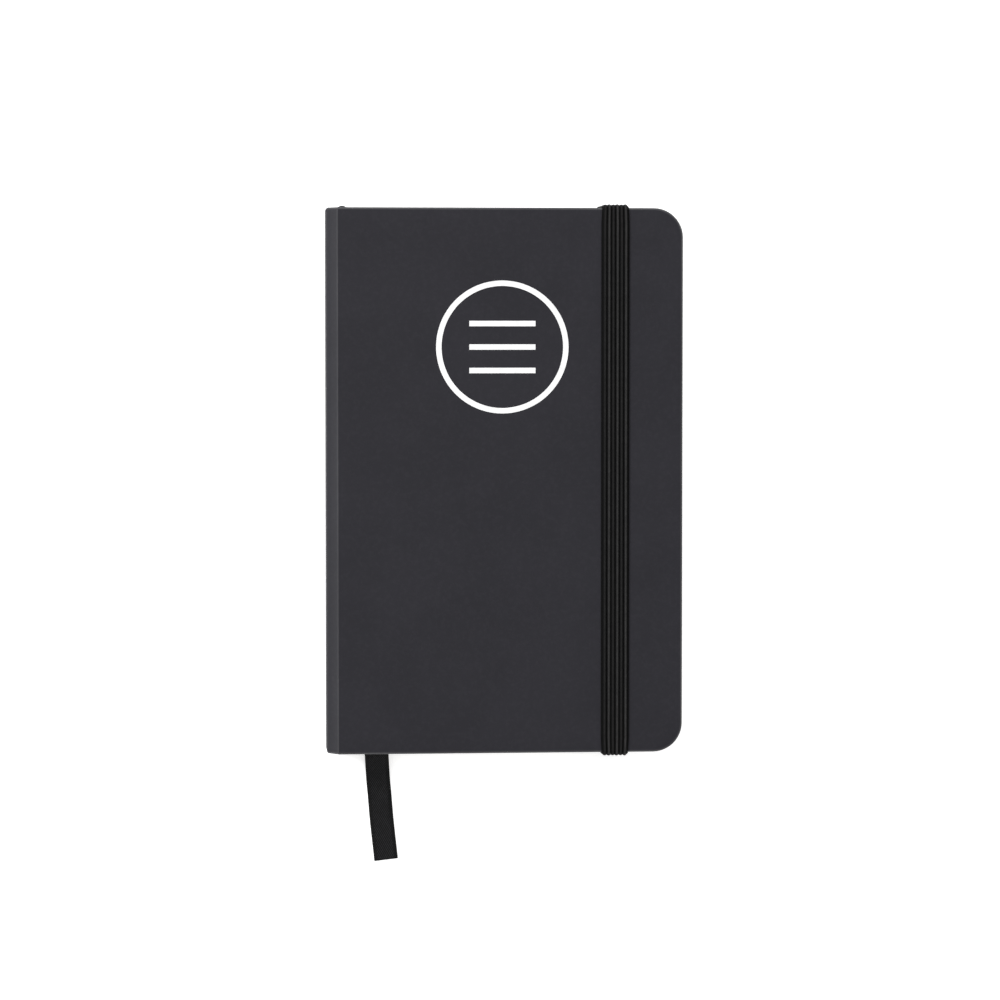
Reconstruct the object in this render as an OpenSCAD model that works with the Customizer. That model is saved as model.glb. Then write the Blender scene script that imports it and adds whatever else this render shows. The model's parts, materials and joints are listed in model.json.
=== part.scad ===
// Pocket notebook: sewn book block in a hard case, with a ribbon marker and an elastic closure.
// X runs from the spine (-X) to the fore edge (+X), Y from the tail to the head, Z up out of
// the front cover. The notebook lies on its back cover, and the origin is under its middle.

/* [Case] */
// Width of the cover, from the spine's outside to the fore edge
cover_w = 91.5; // [80:0.5:110]
// Height of the cover, from tail to head
cover_h = 140; // [120:1:180]
// Radius of the cover's corners at the fore edge
corner_r = 7.5; // [6.5:0.5:10]
// Thickness of the front and back boards
board_t = 1.8; // [1.5:0.1:2.4]
// Thickness of the board in the spine
spine_board_t = 1.5; // [1.2:0.1:1.6]
// Thickness of the covering material
wrap_t = 0.5; // [0.4:0.05:0.6]
// Radius of the two folds beside the spine, outside
fold_r = 1.4; // [1.2:0.1:1.6]
// Width of the covering turned in over the boards' inner faces
turn_w = 11; // [8:0.5:11.5]
// Thickness of the turned-in edges
turn_t = 0.2; // [0.15:0.05:0.3]
// Thickness of the paper pasted inside each board
paste_t = 0.15; // [0.1:0.05:0.2]

/* [Pages] */
// How far the cover stands past the pages at head, tail and fore edge
square_w = 3; // [2:0.5:4]
// Radius of the pages' corners at the fore edge
page_r = 6; // [5:0.5:8]
// Thickness of one sewn section
section_t = 1.15; // [1:0.05:1.4]
// Thickness of one turning leaf or flyleaf
leaf_t = 0.2; // [0.15:0.05:0.25]
// Width of the bound edge that the turning leaves bend from
bound_w = 3.8; // [3.6:0.1:5]

/* [Elastic] */
// Width of the elastic band
elastic_w = 7.2; // [5:0.1:9]
// Thickness of the elastic band
elastic_t = 0.9; // [0.7:0.1:1.1]
// Distance from the fore edge to the middle of the elastic
elastic_inset = 17.5; // [14:0.5:25]
// Distance from head or tail to the slit that each end goes through
slit_inset = 12; // [12:0.5:16]

/* [Ribbon] */
// Width of the ribbon marker
ribbon_w = 6.2; // [4:0.1:6.4]
// Thickness of the ribbon marker
ribbon_t = 0.25; // [0.2:0.05:0.3]

/* [Print] */
// Outside diameter of the printed ring
ring_d = 34; // [20:1:36]
// Width of the printed lines
ring_line = 1.4; // [1:0.1:2]
// Distance from the cover's middle line to the ring's middle, towards the spine
ring_x = 0.8; // [0:0.1:4]
// Distance from the head to the ring's middle
ring_drop = 35.6; // [30:0.1:50]

/* [Hidden] */
$fn = 64;

// Gaps: between resting sheets, between turning leaves, round the elastic, beside the folds
sheet_gap = 0.03;
leaf_gap = 0.05;
elastic_gap = 0.03;
slit_gap = 0.2;
channel_gap = 0.05;
fold_gap = 0.15;
fold_clear = 0.05;
hinge_gap = 0.4;
lining_gap = 0.15;
thread_gap = 0.3;
cover_gap = 0.15;
ribbon_gap = 0.42;
// How far a cutting shape stands past what it cuts
cut = 1;

// Counts of sections below the ribbon, of all sections, and of turning leaves with the flyleaf
sections_below = 2;
section_count = 5;
turning_count = 8;

// Outline of the case
x_spine = -cover_w / 2;
x_fore = cover_w / 2;
y_head = cover_h / 2;
turn_corner_r = 1;

// Levels, from the back cover's outside upwards
z_board = wrap_t;
z_turn = z_board + board_t;
z_paste = z_turn + turn_t;
case_t = z_paste + paste_t;
z_back_fly = case_t + leaf_gap;
z_sections = z_back_fly + leaf_t + sheet_gap;
section_pitch = section_t + sheet_gap;
z_leaves = z_sections + section_count * section_pitch + ribbon_gap;
leaf_pitch = leaf_t + leaf_gap;
z_leaves_top = z_leaves + turning_count * leaf_pitch - leaf_gap;
total_t = z_leaves_top + cover_gap + case_t;

// The front fold's axis, which the front cover turns about
x_pivot = x_spine + fold_r;
z_pivot = total_t - fold_r;
x_front_case = x_pivot + fold_r + fold_gap;
spine_top = z_pivot - norm([fold_r + fold_gap, fold_r]) - fold_clear;

// The spine, from outside to inside
x_spine_board = x_spine + wrap_t;
x_spine_inner = x_spine_board + spine_board_t;
lining_t = 0.25;
lining_inset = 4;
x_lining = x_spine_inner + lining_gap;
thread_r = 0.14;
thread_pitch = 18;
thread_shift = 4;
x_block = x_lining + lining_t + thread_gap;
x_back_board = x_pivot + fold_r + hinge_gap;

// The pages
x_page_fore = x_fore - square_w;
y_page = y_head - square_w;
x_leaf_pivot = x_block + bound_w;
leaf_start = 2;
x_leaf = x_leaf_pivot + leaf_start;

// The elastic and the shallow channel that its ends lie in
x_elastic = x_fore - elastic_inset;
y_elastic_in = y_head + elastic_gap;
y_elastic_out = y_elastic_in + elastic_t;
y_slit = y_head - slit_inset;
channel_half = elastic_w / 2 + slit_gap;
channel_d = elastic_t + channel_gap;
tab_l = 10;

// The print's ink, and the distance between its bars
ink_t = 0.05;
bar_pitch = 6;

// The ribbon's way: glued down the spine, over the head, between two sections, out at the tail
ribbon_route = [
    [-43.2, 46, 6], [-43.2, 54, 6], [-43.2, 62, 6], [-43.2, 66.6, 6],
    [-43.15, 68.5, 6], [-42.9, 69.7, 6], [-42.1, 70.35, 6], [-41.1, 70.4, 6],
    [-40.35, 69.8, 5.9], [-40, 69, 5.7], [-39.75, 67.7, 5.5], [-39.5, 66, 5.5],
    [-39.3, 58, 5.5], [-38.4, 40, 5.5], [-36.7, 10, 5.5], [-34.8, -30, 5.5],
    [-33.4, -58, 5.5], [-33, -66.6, 5.5], [-32.9, -69, 5.2], [-32.7, -71.5, 4.2],
    [-32.5, -74, 2.6], [-32.3, -76.5, 1.2], [-32.1, -79, 0.45], [-31.8, -82, 0.2],
    [-31.4, -87, 0.2], [-30.9, -92, 0.2], [-30.1, -99.2, 0.2]
];
// Stretches of the route: gathered at the head, and twisted from upright to flat
gather_from = 4;
gather_to = 9;
twist_from = 7;
twist_to = 10;
gathered = 0.5;
route_steps = 2;
// The ribbon's flattened eight-sided section, as shares of half its width and thickness
ribbon_section = [
    [1, 0.4], [0.9, 1], [-0.9, 1], [-1, 0.4], [-1, -0.4], [-0.9, -1], [0.9, -1], [1, -0.4]
];

// Colours
cover_colour = [0.2, 0.2, 0.22];
paper_colour = [0.93, 0.9, 0.82];
board_colour = [0.55, 0.52, 0.47];
band_colour = [0.1, 0.1, 0.11];
ribbon_colour = [0.08, 0.08, 0.09];
thread_colour = [0.95, 0.95, 0.92];

// Height of a section's underside; the ribbon's gap lies above the lower sections
function section_z(i) =
    z_sections + (i - 1) * section_pitch + (i > sections_below ? ribbon_gap : 0);

// A flat outline from x0 to x1, h high, with round corners at the fore edge
module fore_outline(x0, x1, h, r) {
    translate([x0, -h / 2])
        square([x1 - r - x0, h]);
    translate([x0, -h / 2 + r])
        square([x1 - x0, h - 2 * r]);
    for (side = [-1, 1])
        translate([x1 - r, side * (h / 2 - r)])
            circle(r);
}

module page_outline(x0) {
    fore_outline(x0, x_page_fore, 2 * y_page, page_r);
}

module cover_outline(x0) {
    fore_outline(x0, x_fore, cover_h, corner_r);
}

module board_outline(x0) {
    fore_outline(x0, x_fore - wrap_t, cover_h - 2 * wrap_t, corner_r - wrap_t);
}

// The covering of one board, outside face down: skin, edges and turned-in strips
module wrap_tray(x0, x_board) {
    difference() {
        linear_extrude(z_paste)
            cover_outline(x0);
        translate([0, 0, z_board])
            linear_extrude(board_t)
                board_outline(x0 - cut);
        translate([0, 0, z_turn - cut])
            linear_extrude(turn_t + 2 * cut)
                fore_outline(x0 - cut, x_fore - turn_w, cover_h - 2 * turn_w, turn_corner_r);
        translate([x0 - cut, -cover_h, z_board])
            cube([x_board - x0 + cut, 2 * cover_h, case_t]);
    }
}

// A block over each elastic slit's channel, with its sides grown and its top at z1
module channel_blocks(grow, z0, z1, y_out) {
    for (side = [0, 1])
        mirror([0, side, 0])
            translate([x_elastic - channel_half - grow, y_slit - grow, z0])
                cube([2 * (channel_half + grow), y_out - y_slit + grow, z1 - z0]);
}

// The two slits that the elastic's ends go through
module slit_cuts() {
    for (side = [0, 1])
        mirror([0, side, 0])
            translate([x_elastic - channel_half, y_slit - slit_gap, -cut])
                cube([2 * channel_half, elastic_t + 2 * slit_gap, case_t + 2 * cut]);
}

module back_board() {
    color(board_colour)
        difference() {
            translate([0, 0, z_board])
                linear_extrude(board_t)
                    board_outline(x_back_board);
            channel_blocks(wrap_t, 0, channel_d + wrap_t, y_head);
            slit_cuts();
        }
}

module back_cover_wrap() {
    color(cover_colour)
        difference() {
            union() {
                wrap_tray(x_pivot, x_back_board);
                channel_blocks(wrap_t, 0, channel_d + wrap_t, y_head);
            }
            channel_blocks(0, -cut, channel_d, y_head + cut);
            slit_cuts();
        }
}

// A quarter ring of covering that turns from the back cover up to the spine
module back_fold() {
    color(cover_colour)
        rotate([90, 0, 0])
            translate([0, 0, -y_head])
                linear_extrude(cover_h)
                    intersection() {
                        translate([x_pivot, fold_r])
                            difference() {
                                circle(fold_r);
                                circle(fold_r - wrap_t);
                            }
                        translate([x_spine, 0])
                            square([fold_r, fold_r]);
                    }
}

module back_pastedown() {
    color(paper_colour)
        translate([0, 0, z_paste])
            linear_extrude(paste_t)
                fore_outline(x_block, x_page_fore, 2 * y_page, page_r);
}

module back_flyleaf() {
    color(paper_colour)
        translate([0, 0, z_back_fly])
            linear_extrude(leaf_t)
                page_outline(x_block);
}

module spine_board() {
    color(board_colour)
        translate([x_spine_board, -y_head + wrap_t, fold_r])
            cube([spine_board_t, cover_h - 2 * wrap_t, spine_top - fold_r]);
}

// The covering of the spine, with short lips over the spine board's ends
module spine_wrap() {
    color(cover_colour)
        difference() {
            translate([x_spine, -y_head, fold_r])
                cube([wrap_t + spine_board_t, cover_h, spine_top - fold_r]);
            translate([x_spine_board, -y_head + wrap_t, 0])
                cube([spine_board_t + cut, cover_h - 2 * wrap_t, total_t]);
        }
}

// The covering's fold at the front of the spine, as a round bead on the axis of opening
module front_fold() {
    color(cover_colour)
        translate([x_pivot, y_head, z_pivot])
            rotate([90, 0, 0])
                cylinder(h = cover_h, r = fold_r);
}

// Open-weave lining glued down the block's spine
module spine_lining() {
    color(thread_colour)
        translate([x_lining, -y_page + lining_inset, z_back_fly])
            cube([lining_t, 2 * (y_page - lining_inset), z_leaves - z_back_fly]);
}

// The sewing seen from the spine: one upright run of thread at each station
module sewing_thread() {
    color(thread_colour)
        for (station = [-2:1])
            translate([x_block - thread_r, station * thread_pitch + thread_shift, z_sections])
                cylinder(h = z_leaves - z_sections, r = thread_r);
}

module section(i) {
    color(paper_colour)
        translate([0, 0, section_z(i)])
            linear_extrude(section_t)
                page_outline(x_block);
}

// The bound edge of the turning leaves, which stays with the block
module leaf_bound_edge() {
    color(paper_colour)
        translate([x_block, -y_page, z_leaves])
            cube([bound_w - leaf_gap, 2 * y_page, z_leaves_top - z_leaves]);
}

// One turning leaf, counted from the top: 0 is the front flyleaf
module turning_leaf(i) {
    color(paper_colour)
        translate([0, 0, z_leaves + (turning_count - 1 - i) * leaf_pitch])
            linear_extrude(leaf_t)
                page_outline(x_leaf);
}

module front_pastedown() {
    color(paper_colour)
        translate([0, 0, total_t - case_t])
            linear_extrude(paste_t)
                fore_outline(x_front_case, x_page_fore, 2 * y_page, page_r);
}

module front_board() {
    color(board_colour)
        translate([0, 0, total_t - z_turn])
            linear_extrude(board_t)
                board_outline(x_front_case);
}

module front_cover_wrap() {
    color(cover_colour)
        translate([0, 0, total_t])
            mirror([0, 0, 1])
                wrap_tray(x_front_case, x_front_case);
}

// A printed ring with three plain bars, a thin film of ink on the front cover
module cover_print() {
    color("white")
        translate([-ring_x, y_head - ring_drop, total_t])
            linear_extrude(ink_t) {
                difference() {
                    circle(ring_d / 2);
                    circle(ring_d / 2 - ring_line);
                }
                for (row = [-1:1])
                    translate([-ring_d / 4, row * bar_pitch - ring_line / 2])
                        square([ring_d / 2, ring_line]);
            }
}

// The elastic's front run, seen from the side, with rounded corners at head and tail
module elastic_front_run() {
    color(band_colour)
        translate([x_elastic - elastic_w / 2, 0, 0])
            rotate([90, 0, 90])
                linear_extrude(elastic_w) {
                    translate([-y_elastic_in, total_t + elastic_gap])
                        square([2 * y_elastic_in, elastic_t]);
                    for (side = [-1, 1])
                        translate([side * y_elastic_in, total_t + elastic_gap])
                            intersection() {
                                circle(elastic_t);
                                translate([-elastic_t, 0])
                                    square(2 * elastic_t);
                            }
                }
}

module elastic_leg() {
    translate([x_elastic - elastic_w / 2, y_elastic_in, elastic_t])
        cube([elastic_w, elastic_t, total_t - elastic_t]);
}

module elastic_head_leg() {
    color(band_colour)
        elastic_leg();
}

module elastic_tail_leg() {
    color(band_colour)
        mirror([0, 1, 0])
            elastic_leg();
}

// The elastic's ends: round the back edge, along the channel, through the slit, glued inside
module elastic_ends() {
    color(band_colour)
        for (side = [0, 1])
            mirror([0, side, 0])
                translate([x_elastic - elastic_w / 2, 0, 0])
                    rotate([90, 0, 90])
                        linear_extrude(elastic_w) {
                            intersection() {
                                translate([y_elastic_in, elastic_t])
                                    circle(elastic_t);
                                translate([y_elastic_in, 0])
                                    square(elastic_t);
                            }
                            translate([y_slit, 0])
                                square([y_elastic_in - y_slit, elastic_t]);
                            translate([y_slit, 0])
                                square([elastic_t, z_paste]);
                            translate([y_slit - tab_l, z_turn])
                                square([tab_l, turn_t]);
                        }
}

// A point of the smooth curve through the route, between point i and the next
function route_point(i, s) =
    let (
        last = len(ribbon_route) - 1,
        a = ribbon_route[max(i - 1, 0)],
        b = ribbon_route[i],
        c = ribbon_route[min(i + 1, last)],
        d = ribbon_route[min(i + 2, last)]
    )
    0.5 * (2 * b + (c - a) * s + (2 * a - 5 * b + 4 * c - d) * s * s
        + (3 * b - a - 3 * c + d) * s * s * s);

function unit(v) = v / norm(v);

// A value that runs smoothly from 0 at a to 1 at b
function ramp(u, a, b) =
    let (s = min(max((u - a) / (b - a), 0), 1))
    s * s * (3 - 2 * s);

// One ring of the ribbon at u points along the route
function ribbon_ring(u) =
    let (
        i = min(floor(u), len(ribbon_route) - 2),
        here = route_point(i, u - i),
        ahead = route_point(i, u - i + 0.01),
        along = unit(ahead - here),
        level = unit(cross([0, 0, 1], along)),
        turn = 90 * ramp(u, twist_from, twist_to),
        across = unit(cos(turn) * unit(cross(along, level)) + sin(turn) * level),
        out = cross(along, across),
        pull = ramp(u, gather_from - 1, gather_from) - ramp(u, gather_to, gather_to + 2),
        half_w = ribbon_w / 2 * (1 - (1 - gathered) * pull),
        half_t = ribbon_t / 2
    )
    [for (p = ribbon_section) here + across * p[0] * half_w + out * p[1] * half_t];

module ribbon_marker() {
    sides = len(ribbon_section);
    rings = (len(ribbon_route) - 1) * route_steps + 1;
    points = [for (k = [0:rings - 1]) each ribbon_ring(k / route_steps)];
    walls = [
        for (k = [0:rings - 2])
            for (j = [0:sides - 1])
                let (
                    a = k * sides + j,
                    b = k * sides + (j + 1) % sides
                )
                each [[a, a + sides, b], [b, a + sides, b + sides]]
    ];
    first = [for (j = [0:sides - 1]) j];
    end = [for (j = [sides - 1:-1:0]) (rings - 1) * sides + j];
    color(ribbon_colour)
        polyhedron(points, concat([first], [end], walls), convexity = 10);
}

back_board();
back_cover_wrap();
back_fold();
back_pastedown();
back_flyleaf();
spine_board();
spine_wrap();
front_fold();
spine_lining();
sewing_thread();
section(1);  // section_1
section(2);  // section_2
section(3);  // section_3
section(4);  // section_4
section(5);  // section_5
leaf_bound_edge();
turning_leaf(1);  // leaf_1
turning_leaf(2);  // leaf_2
turning_leaf(3);  // leaf_3
turning_leaf(4);  // leaf_4
turning_leaf(5);  // leaf_5
turning_leaf(6);  // leaf_6
turning_leaf(7);  // leaf_7
turning_leaf(0);  // front_flyleaf
front_pastedown();
front_board();
front_cover_wrap();
cover_print();
elastic_front_run();
elastic_head_leg();
elastic_tail_leg();
elastic_ends();
ribbon_marker();
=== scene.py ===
import json
import math

import bmesh
import bpy
import numpy as np
from mathutils import Matrix, Vector


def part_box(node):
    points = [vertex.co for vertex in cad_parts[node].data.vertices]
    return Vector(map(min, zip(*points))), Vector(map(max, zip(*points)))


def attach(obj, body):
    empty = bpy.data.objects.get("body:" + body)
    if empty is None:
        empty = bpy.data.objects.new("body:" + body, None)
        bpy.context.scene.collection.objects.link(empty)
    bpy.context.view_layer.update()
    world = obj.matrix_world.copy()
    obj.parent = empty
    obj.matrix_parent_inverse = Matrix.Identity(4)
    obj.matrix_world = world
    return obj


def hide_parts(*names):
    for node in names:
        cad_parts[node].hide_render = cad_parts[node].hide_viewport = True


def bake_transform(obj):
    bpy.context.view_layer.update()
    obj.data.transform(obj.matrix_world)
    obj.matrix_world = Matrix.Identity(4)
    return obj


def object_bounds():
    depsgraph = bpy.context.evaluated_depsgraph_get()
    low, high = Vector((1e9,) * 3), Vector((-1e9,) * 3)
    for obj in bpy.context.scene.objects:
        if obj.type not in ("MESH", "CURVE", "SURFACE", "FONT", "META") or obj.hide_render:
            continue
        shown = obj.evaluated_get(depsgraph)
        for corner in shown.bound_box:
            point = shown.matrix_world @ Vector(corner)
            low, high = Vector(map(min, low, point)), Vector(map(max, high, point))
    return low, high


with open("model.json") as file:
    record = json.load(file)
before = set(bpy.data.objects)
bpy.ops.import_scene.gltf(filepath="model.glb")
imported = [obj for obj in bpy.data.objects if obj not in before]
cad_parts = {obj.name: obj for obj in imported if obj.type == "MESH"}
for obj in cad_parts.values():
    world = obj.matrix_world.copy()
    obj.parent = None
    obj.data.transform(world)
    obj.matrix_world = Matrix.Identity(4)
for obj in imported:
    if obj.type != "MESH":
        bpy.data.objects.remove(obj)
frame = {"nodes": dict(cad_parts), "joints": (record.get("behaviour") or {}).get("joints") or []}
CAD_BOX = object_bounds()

bl_info = {
    "name": "Pocket Notebook",
    "version": (1, 0, 0),
    "blender": (4, 5, 0),
    "location": "View3D > Sidebar > Notebook",
    "description": "Builds the coverings, pages, elastic and ribbon of a pocket notebook",
    "category": "Object",
}

MM = 0.001
# Degrees between faces above which an edge is shaded sharp
SHARP_ANGLE = 40
# How far a lip's corner is cut back, and how far a strip stops short of what it faces
SHORT_OF = 0.1 * MM
BACK, FRONT, BAND = "back_case", "front_case", "elastic_run"
LEAVES = ["front_flyleaf"] + [f"leaf_{i}" for i in range(1, 8)]
SECTIONS = [f"section_{i}" for i in range(1, 6)]


# ---- Sizes that come from the frame ---------------------------------------------------------

def low(node, axis):
    """Lowest coordinate of a CAD node along axis 0, 1 or 2."""
    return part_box(node)[0][axis]


def high(node, axis):
    """Highest coordinate of a CAD node along axis 0, 1 or 2."""
    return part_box(node)[1][axis]


HALF_H = high("front_cover_wrap", 1)
X_FORE = high("front_cover_wrap", 0)
X_FRONT = low("front_cover_wrap", 0)
X_BACK = low("back_cover_wrap", 0)
X_SPINE = low("spine_wrap", 0)
Z_TOP = high("front_cover_wrap", 2)
Z_SPINE = high("spine_wrap", 2)
CASE_T = high("back_cover_wrap", 2)
WRAP_T = low("back_board", 2)
LIP_T = high("spine_wrap", 0) - low("spine_wrap", 0)
FOLD_R = (high("front_fold", 0) - low("front_fold", 0)) / 2
X_PIVOT = low("front_fold", 0) + FOLD_R
X_BLOCK = low("section_1", 0)
X_PAGE = high("section_1", 0)
HALF_PAGE = high("section_1", 1)
BAND_X = (low("elastic_front_run", 0) + high("elastic_front_run", 0)) / 2
BAND_W = high("elastic_front_run", 0) - low("elastic_front_run", 0)
BAND_Y = high("elastic_head_leg", 1)
BAND_T = BAND_Y - low("elastic_head_leg", 1)
BAND_Z = high("elastic_front_run", 2)
LEAF_PIVOT = {j["child"]: Vector(j["pos_m"]) for j in frame["joints"] if "pos_m" in j}


# ---- Settings -------------------------------------------------------------------------------

def length(name, text, value):
    """A length property in metres."""
    return bpy.props.FloatProperty(name=name, description=text, default=value, min=0.0,
                                   subtype="DISTANCE", unit="LENGTH", precision=5)


def colour(name, text, value):
    """A linear colour property."""
    return bpy.props.FloatVectorProperty(name=name, description=text, default=value, size=3,
                                         min=0.0, max=1.0, subtype="COLOR")


class NotebookSizes(bpy.types.PropertyGroup):
    """Sizes that shape the visible pieces inside the CAD frame."""

    corner_radius: length("Cover Corner", "Radius of the cover's fore-edge corners", 7.5 * MM)
    page_radius: length("Page Corner", "Radius of the pages' fore-edge corners", 6 * MM)
    edge_radius: length("Cover Edge", "Rounding of the covering over a board's edge", 0.6 * MM)
    shoulder_drop: length("Shoulder Drop", "How far the spine's slope starts below the cover",
                          3.2 * MM)
    shoulder_ease: length("Shoulder Ease", "Flat strip between the slope and the board", 0.15 * MM)
    turn_in: length("Turn-in", "Width of the covering turned in over the board", 11 * MM)
    channel: length("Channel", "Depth of the channel for the elastic's ends", 0.95 * MM)
    channel_side: length("Channel Side", "Room beside the elastic in its channel", 0.2 * MM)
    slit_inset: length("Slit Inset", "Distance from head or tail to the elastic's slit", 12 * MM)
    rib_count: bpy.props.IntProperty(
        name="Ribs", description="Number of cords across the elastic", default=6, min=2, max=12)
    rib_depth: length("Rib Depth", "Depth of the grooves between the cords", 0.34 * MM)
    side_slope: length("Side Slope", "Width of the elastic's plain sloped edge", 0.35 * MM)
    sheet: length("Paper", "Thickness of one sheet of paper", 0.1 * MM)
    folded_sheets: bpy.props.IntProperty(
        name="Folded Sheets", description="Folded sheets in one section", default=4, min=1, max=8)
    page_bend: length("Page Bend", "Length over which a turning leaf bends", 5 * MM)
    ribbon_width: length("Ribbon Width", "Width of the ribbon marker", 6.2 * MM)
    ribbon_thickness: length("Ribbon Thickness", "Thickness of the ribbon marker", 0.25 * MM)


class NotebookColours(bpy.types.PropertyGroup):
    """Colours of the finishes, as linear values."""

    cover: colour("Cover", "Soft-touch covering", (0.0133, 0.0127, 0.0174))
    cover_light: colour("Cover Patches", "Paler patches of the covering", (0.0200, 0.0191, 0.0248))
    # Painted highlight: the pale colour that the covering's rounded edges and folds are mixed
    # towards
    cover_edge_highlight: colour("Cover Edge", "Covering where it is rubbed at an edge",
                       (0.085, 0.085, 0.089))
    # Painted light and shade: pale on the cords' tops, near-black in the grooves and along the
    # band's sides
    elastic: colour("Elastic Cord", "Raised cords of the elastic", (0.050, 0.049, 0.049))
    elastic_groove_shade: colour("Elastic Groove", "Grooves between the cords", (0.0010, 0.0010, 0.0011))
    # Painted light and shade: paler on the ribbon's raised threads, near-black in the weave's
    # hollows
    ribbon: colour("Ribbon", "Raised threads of the ribbon", (0.030, 0.030, 0.032))
    ribbon_hollow_shade: colour("Ribbon Groove", "Hollows of the ribbon's weave",
                          (0.0008, 0.0008, 0.0010))
    page: colour("Page", "Ivory writing paper", (0.83, 0.77, 0.64))
    rule: colour("Ruled Line", "Grey lines ruled on the pages", (0.45, 0.46, 0.47))
    endpaper: colour("Endpaper", "Heavier paper of pastedowns and flyleaves", (0.78, 0.71, 0.57))
    board: colour("Board", "Grey board inside the covers", (0.30, 0.27, 0.22))
    gauze: colour("Gauze", "Lining on the block's spine", (0.72, 0.69, 0.60))
    thread: colour("Thread", "Sewing thread", (0.86, 0.85, 0.80))
    ink: colour("Ink", "White print on the cover", (0.95, 0.95, 0.95))
    floor: colour("Floor", "Pale floor", (0.93, 0.93, 0.93))


def sizes():
    """The scene's size settings."""
    return bpy.context.scene.notebook_sizes


def colours():
    """The scene's colour settings."""
    return bpy.context.scene.notebook_colours


# ---- Meshes ---------------------------------------------------------------------------------

def add_piece(name, points, faces, material, uv=None, marks=None):
    """Makes a closed mesh piece with outward faces from points and faces.

    uv gives a pair for each point, and marks is a dict of one number a point for materials.
    """
    mesh = bpy.data.meshes.new(name)
    mesh.from_pydata(np.asarray(points, float).reshape(-1, 3).tolist(), [], faces)
    corner = np.empty(len(mesh.loops), np.int32)
    mesh.loops.foreach_get("vertex_index", corner)
    if uv is not None:
        flat = np.asarray(uv, np.float32).reshape(-1, 2)[corner]
        mesh.uv_layers.new(name="UVMap").data.foreach_set("uv", flat.ravel())
    for mark, values in (marks or {}).items():
        layer = mesh.attributes.new(mark, "FLOAT", "POINT")
        layer.data.foreach_set("value", np.asarray(values, np.float32).ravel())
    work = bmesh.new()
    work.from_mesh(mesh)
    bmesh.ops.recalc_face_normals(work, faces=work.faces)
    work.to_mesh(mesh)
    work.free()
    mesh.polygons.foreach_set("use_smooth", np.ones(len(mesh.polygons), bool))
    mesh.set_sharp_from_angle(angle=math.radians(SHARP_ANGLE))
    mesh.materials.append(material)
    piece = bpy.data.objects.new(name, mesh)
    bpy.context.scene.collection.objects.link(piece)
    return piece


def grid_faces(index):
    """Quads between neighbours of a two-way array of point numbers."""
    quads = np.stack([index[:-1, :-1], index[1:, :-1], index[1:, 1:], index[:-1, 1:]], axis=-1)
    return quads.reshape(-1, 4).tolist()


def loft(rings, start=0):
    """Faces that join closed rings of points in order, with a flat cap on each end.

    Point j of ring k is number start + k * n + j, and the quads wrap round each ring.
    """
    count, n = rings.shape[:2]
    index = start + np.arange(count * n).reshape(count, n)
    index = np.concatenate([index, index[:, :1]], axis=1)
    return grid_faces(index) + [index[0, :-1].tolist(), index[-1, -2::-1].tolist()]


def join_lofts(parts):
    """All rings of several lofts as one point list, with the faces of them all."""
    points, faces, start = [], [], 0
    for rings in parts:
        faces += loft(rings, start)
        points.append(rings.reshape(-1, 3))
        start += rings.shape[0] * rings.shape[1]
    return np.concatenate(points), faces


def path_length(path):
    """Distance along a path of points, from 0 at its first one."""
    steps = np.linalg.norm(np.diff(path, axis=0), axis=1)
    return np.concatenate([[0.0], np.cumsum(steps)])


def arc(cx, cy, radius, a0, a1, n):
    """n + 1 points on a circle's arc from angle a0 to a1 in degrees."""
    a = np.radians(np.linspace(a0, a1, n + 1))
    return np.stack([cx + radius * np.cos(a), cy + radius * np.sin(a)], axis=1)


# ---- Covering of a board --------------------------------------------------------------------

def outline_grid(x0, xs, across, inset, radius):
    """Points over a cover's outline, moved in by inset, as rungs from tail to head.

    Straight rungs stand at xs, then rungs follow the corner arc: x = cx + r sin a, and the
    half-length y = cy + r cos a. Each rung's points are the shares in across of its half-length.
    """
    r = max(radius - inset, 0.5 * MM)
    cx, cy = X_FORE - inset - r, HALF_H - inset - r
    straight = x0 + (xs - x0) * (cx - x0) / (xs[-1] - x0)
    a = np.linspace(0, math.pi / 2, 13)[1:]
    x = np.concatenate([straight, cx + r * np.sin(a)])
    y = np.concatenate([np.full(len(xs), HALF_H - inset), cy + r * np.cos(a)])
    return np.stack([np.repeat(x[:, None], len(across), 1), y[:, None] * across], axis=-1)


def rim(grid):
    """The grid's edge from the spine along the tail, the fore edge and the head."""
    return np.concatenate([grid[:, 0], grid[-1, 1:-1], grid[::-1, -1]])


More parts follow.
